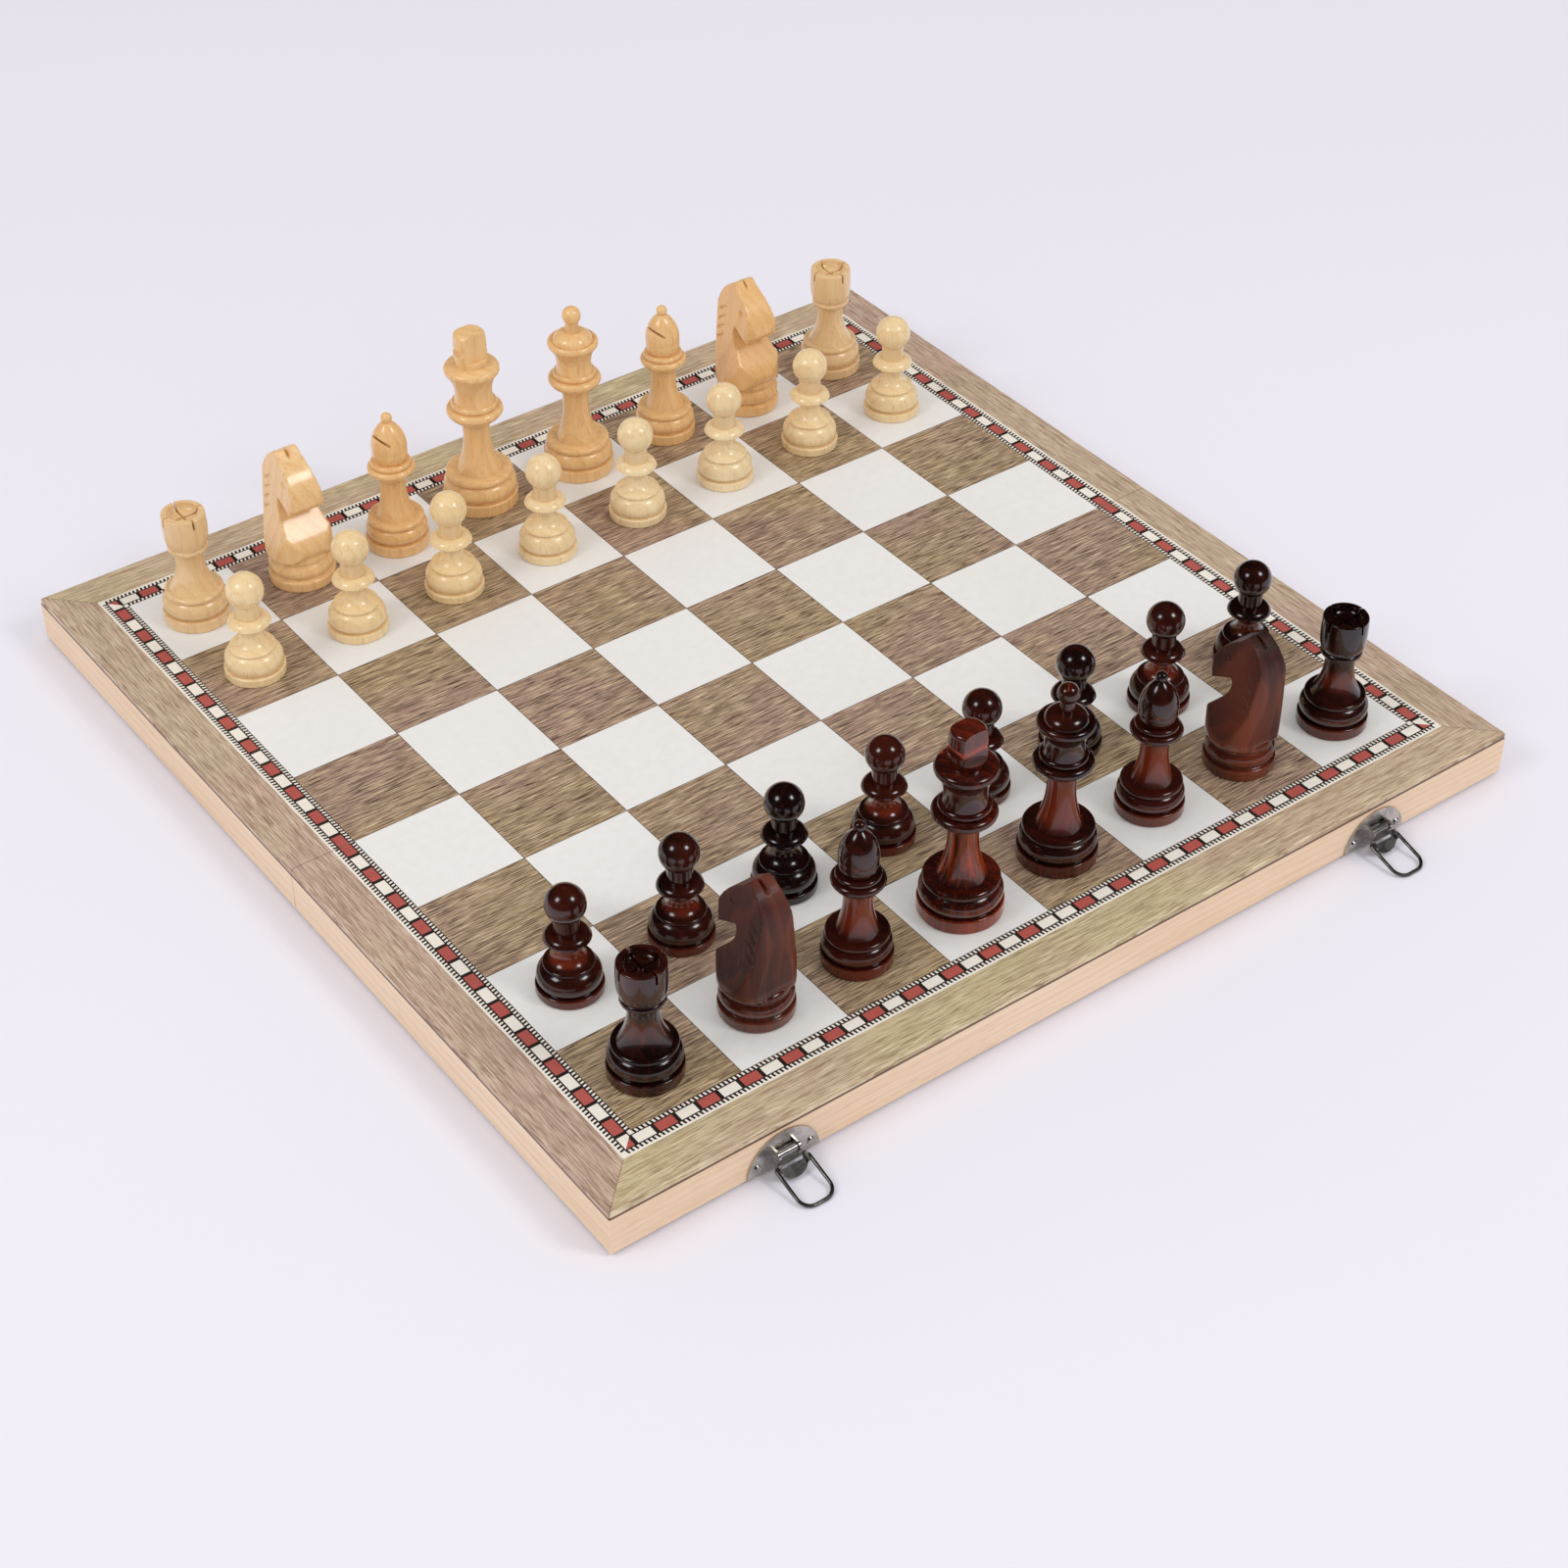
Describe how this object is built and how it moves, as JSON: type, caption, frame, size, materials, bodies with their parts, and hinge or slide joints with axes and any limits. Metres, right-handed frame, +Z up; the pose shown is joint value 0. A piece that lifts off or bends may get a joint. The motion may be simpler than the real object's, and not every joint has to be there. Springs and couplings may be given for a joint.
{
  "type": "folding chess set",
  "caption": "Folding wooden chess set: two hinged pine trays with a printed board, draw latches, and light and dark turned men standing ready to play.",
  "frame": {"origin": "bottom centre of the whole open set, with the latch loops and catch hooks counted in its depth; the fold line lies 8.29 mm behind it", "axes": "+X along the fold, +Y from the latched dark edge towards the light back edge, +Z up"},
  "size_m": [0.39, 0.4158, 0.0962],
  "materials": {
    "printed_panel": "satin printed foil on board",
    "pine": "sanded and clear sealed",
    "light_varnish": "clear varnish",
    "dark_lacquer": "gloss lacquer",
    "latch_steel": "nickel plated",
    "hinge_steel": "nickel plated",
    "fastener_steel": "nickel plated"
  },
  "bodies": {
    "light_half": {"catch_nails": "fastener_steel", "hinge_pins": "hinge_steel", "left_catch_plate": "latch_steel", "left_hinge_light_leaf": "hinge_steel", "light_fold_rail": "pine", "light_hinge_screws": "fastener_steel", "light_left_rail": "pine", "light_outer_rail": "pine", "light_panel": "printed_panel", "light_right_rail": "pine", "right_catch_plate": "latch_steel", "right_hinge_light_leaf": "hinge_steel"},
    "dark_half": {"dark_fold_rail": "pine", "dark_hinge_screws": "fastener_steel", "dark_left_rail": "pine", "dark_outer_rail": "pine", "dark_panel": "printed_panel", "dark_right_rail": "pine", "latch_nails": "fastener_steel", "left_hinge_dark_leaf": "hinge_steel", "left_latch_plate": "latch_steel", "lever_pins": "latch_steel", "right_hinge_dark_leaf": "hinge_steel", "right_latch_plate": "latch_steel"},
    "dark_king": {"dark_king": "dark_lacquer"},
    "dark_left_bishop": {"dark_left_bishop": "dark_lacquer"},
    "dark_left_knight": {"dark_left_knight": "dark_lacquer"},
    "dark_left_rook": {"dark_left_rook": "dark_lacquer"},
    "dark_pawn_1": {"dark_pawn_1": "dark_lacquer"},
    "dark_pawn_2": {"dark_pawn_2": "dark_lacquer"},
    "dark_pawn_3": {"dark_pawn_3": "dark_lacquer"},
    "dark_pawn_4": {"dark_pawn_4": "dark_lacquer"},
    "dark_pawn_5": {"dark_pawn_5": "dark_lacquer"},
    "dark_pawn_6": {"dark_pawn_6": "dark_lacquer"},
    "dark_pawn_7": {"dark_pawn_7": "dark_lacquer"},
    "dark_pawn_8": {"dark_pawn_8": "dark_lacquer"},
    "dark_queen": {"dark_queen": "dark_lacquer"},
    "dark_right_bishop": {"dark_right_bishop": "dark_lacquer"},
    "dark_right_knight": {"dark_right_knight": "dark_lacquer"},
    "dark_right_rook": {"dark_right_rook": "dark_lacquer"},
    "left_bail": {"left_latch_bail": "latch_steel"},
    "left_lever": {"left_latch_lever": "latch_steel"},
    "light_king": {"light_king": "light_varnish"},
    "light_left_bishop": {"light_left_bishop": "light_varnish"},
    "light_left_knight": {"light_left_knight": "light_varnish"},
    "light_left_rook": {"light_left_rook": "light_varnish"},
    "light_pawn_1": {"light_pawn_1": "light_varnish"},
    "light_pawn_2": {"light_pawn_2": "light_varnish"},
    "light_pawn_3": {"light_pawn_3": "light_varnish"},
    "light_pawn_4": {"light_pawn_4": "light_varnish"},
    "light_pawn_5": {"light_pawn_5": "light_varnish"},
    "light_pawn_6": {"light_pawn_6": "light_varnish"},
    "light_pawn_7": {"light_pawn_7": "light_varnish"},
    "light_pawn_8": {"light_pawn_8": "light_varnish"},
    "light_queen": {"light_queen": "light_varnish"},
    "light_right_bishop": {"light_right_bishop": "light_varnish"},
    "light_right_knight": {"light_right_knight": "light_varnish"},
    "light_right_rook": {"light_right_rook": "light_varnish"},
    "right_bail": {"right_latch_bail": "latch_steel"},
    "right_lever": {"right_latch_lever": "latch_steel"}
  },
  "joints": [
    {"name": "fold", "type": "hinge", "parent": "light_half", "child": "dark_half", "pos_m": [0, 0.00829, 0.0011], "axis": [1, 0, 0], "range_deg": [0, 180]},
    {"name": "left_lever_swing", "type": "hinge", "parent": "dark_half", "child": "left_lever", "pos_m": [-0.13, -0.18931, 0.0082], "axis": [-1, 0, 0], "range_deg": [0, 140]},
    {"name": "left_bail_swing", "type": "hinge", "parent": "left_lever", "child": "left_bail", "pos_m": [-0.13, -0.19188, 0.00514], "axis": [-1, 0, 0], "range_deg": [-213.81, 0]},
    {"name": "right_lever_swing", "type": "hinge", "parent": "dark_half", "child": "right_lever", "pos_m": [0.13, -0.18931, 0.0082], "axis": [-1, 0, 0], "range_deg": [0, 140]},
    {"name": "right_bail_swing", "type": "hinge", "parent": "right_lever", "child": "right_bail", "pos_m": [0.13, -0.19188, 0.00514], "axis": [-1, 0, 0], "range_deg": [-213.81, 0]},
    {"name": "dark_king_lift", "type": "slide", "parent": "dark_half", "child": "dark_king", "axis": [0, 0, 1], "range_m": [0, 0.06]},
    {"name": "dark_left_bishop_lift", "type": "slide", "parent": "dark_half", "child": "dark_left_bishop", "axis": [0, 0, 1], "range_m": [0, 0.06]},
    {"name": "dark_left_knight_lift", "type": "slide", "parent": "dark_half", "child": "dark_left_knight", "axis": [0, 0, 1], "range_m": [0, 0.06]},
    {"name": "dark_left_rook_lift", "type": "slide", "parent": "dark_half", "child": "dark_left_rook", "axis": [0, 0, 1], "range_m": [0, 0.06]},
    {"name": "dark_pawn_1_lift", "type": "slide", "parent": "dark_half", "child": "dark_pawn_1", "axis": [0, 0, 1], "range_m": [0, 0.06]},
    {"name": "dark_pawn_2_lift", "type": "slide", "parent": "dark_half", "child": "dark_pawn_2", "axis": [0, 0, 1], "range_m": [0, 0.06]},
    {"name": "dark_pawn_3_lift", "type": "slide", "parent": "dark_half", "child": "dark_pawn_3", "axis": [0, 0, 1], "range_m": [0, 0.06]},
    {"name": "dark_pawn_4_lift", "type": "slide", "parent": "dark_half", "child": "dark_pawn_4", "axis": [0, 0, 1], "range_m": [0, 0.06]},
    {"name": "dark_pawn_5_lift", "type": "slide", "parent": "dark_half", "child": "dark_pawn_5", "axis": [0, 0, 1], "range_m": [0, 0.06]},
    {"name": "dark_pawn_6_lift", "type": "slide", "parent": "dark_half", "child": "dark_pawn_6", "axis": [0, 0, 1], "range_m": [0, 0.06]},
    {"name": "dark_pawn_7_lift", "type": "slide", "parent": "dark_half", "child": "dark_pawn_7", "axis": [0, 0, 1], "range_m": [0, 0.06]},
    {"name": "dark_pawn_8_lift", "type": "slide", "parent": "dark_half", "child": "dark_pawn_8", "axis": [0, 0, 1], "range_m": [0, 0.06]},
    {"name": "dark_queen_lift", "type": "slide", "parent": "dark_half", "child": "dark_queen", "axis": [0, 0, 1], "range_m": [0, 0.06]},
    {"name": "dark_right_bishop_lift", "type": "slide", "parent": "dark_half", "child": "dark_right_bishop", "axis": [0, 0, 1], "range_m": [0, 0.06]},
    {"name": "dark_right_knight_lift", "type": "slide", "parent": "dark_half", "child": "dark_right_knight", "axis": [0, 0, 1], "range_m": [0, 0.06]},
    {"name": "dark_right_rook_lift", "type": "slide", "parent": "dark_half", "child": "dark_right_rook", "axis": [0, 0, 1], "range_m": [0, 0.06]},
    {"name": "light_king_lift", "type": "slide", "parent": "light_half", "child": "light_king", "axis": [0, 0, 1], "range_m": [0, 0.06]},
    {"name": "light_left_bishop_lift", "type": "slide", "parent": "light_half", "child": "light_left_bishop", "axis": [0, 0, 1], "range_m": [0, 0.06]},
    {"name": "light_left_knight_lift", "type": "slide", "parent": "light_half", "child": "light_left_knight", "axis": [0, 0, 1], "range_m": [0, 0.06]},
    {"name": "light_left_rook_lift", "type": "slide", "parent": "light_half", "child": "light_left_rook", "axis": [0, 0, 1], "range_m": [0, 0.06]},
    {"name": "light_pawn_1_lift", "type": "slide", "parent": "light_half", "child": "light_pawn_1", "axis": [0, 0, 1], "range_m": [0, 0.06]},
    {"name": "light_pawn_2_lift", "type": "slide", "parent": "light_half", "child": "light_pawn_2", "axis": [0, 0, 1], "range_m": [0, 0.06]},
    {"name": "light_pawn_3_lift", "type": "slide", "parent": "light_half", "child": "light_pawn_3", "axis": [0, 0, 1], "range_m": [0, 0.06]},
    {"name": "light_pawn_4_lift", "type": "slide", "parent": "light_half", "child": "light_pawn_4", "axis": [0, 0, 1], "range_m": [0, 0.06]},
    {"name": "light_pawn_5_lift", "type": "slide", "parent": "light_half", "child": "light_pawn_5", "axis": [0, 0, 1], "range_m": [0, 0.06]},
    {"name": "light_pawn_6_lift", "type": "slide", "parent": "light_half", "child": "light_pawn_6", "axis": [0, 0, 1], "range_m": [0, 0.06]},
    {"name": "light_pawn_7_lift", "type": "slide", "parent": "light_half", "child": "light_pawn_7", "axis": [0, 0, 1], "range_m": [0, 0.06]},
    {"name": "light_pawn_8_lift", "type": "slide", "parent": "light_half", "child": "light_pawn_8", "axis": [0, 0, 1], "range_m": [0, 0.06]},
    {"name": "light_queen_lift", "type": "slide", "parent": "light_half", "child": "light_queen", "axis": [0, 0, 1], "range_m": [0, 0.06]},
    {"name": "light_right_bishop_lift", "type": "slide", "parent": "light_half", "child": "light_right_bishop", "axis": [0, 0, 1], "range_m": [0, 0.06]},
    {"name": "light_right_knight_lift", "type": "slide", "parent": "light_half", "child": "light_right_knight", "axis": [0, 0, 1], "range_m": [0, 0.06]},
    {"name": "light_right_rook_lift", "type": "slide", "parent": "light_half", "child": "light_right_rook", "axis": [0, 0, 1], "range_m": [0, 0.06]}
  ],
  "couplings": [
    {"joint": "left_bail_swing", "follows": "left_lever_swing", "ratio": -1.5271},
    {"joint": "right_bail_swing", "follows": "right_lever_swing", "ratio": -1.5271}
  ]
}
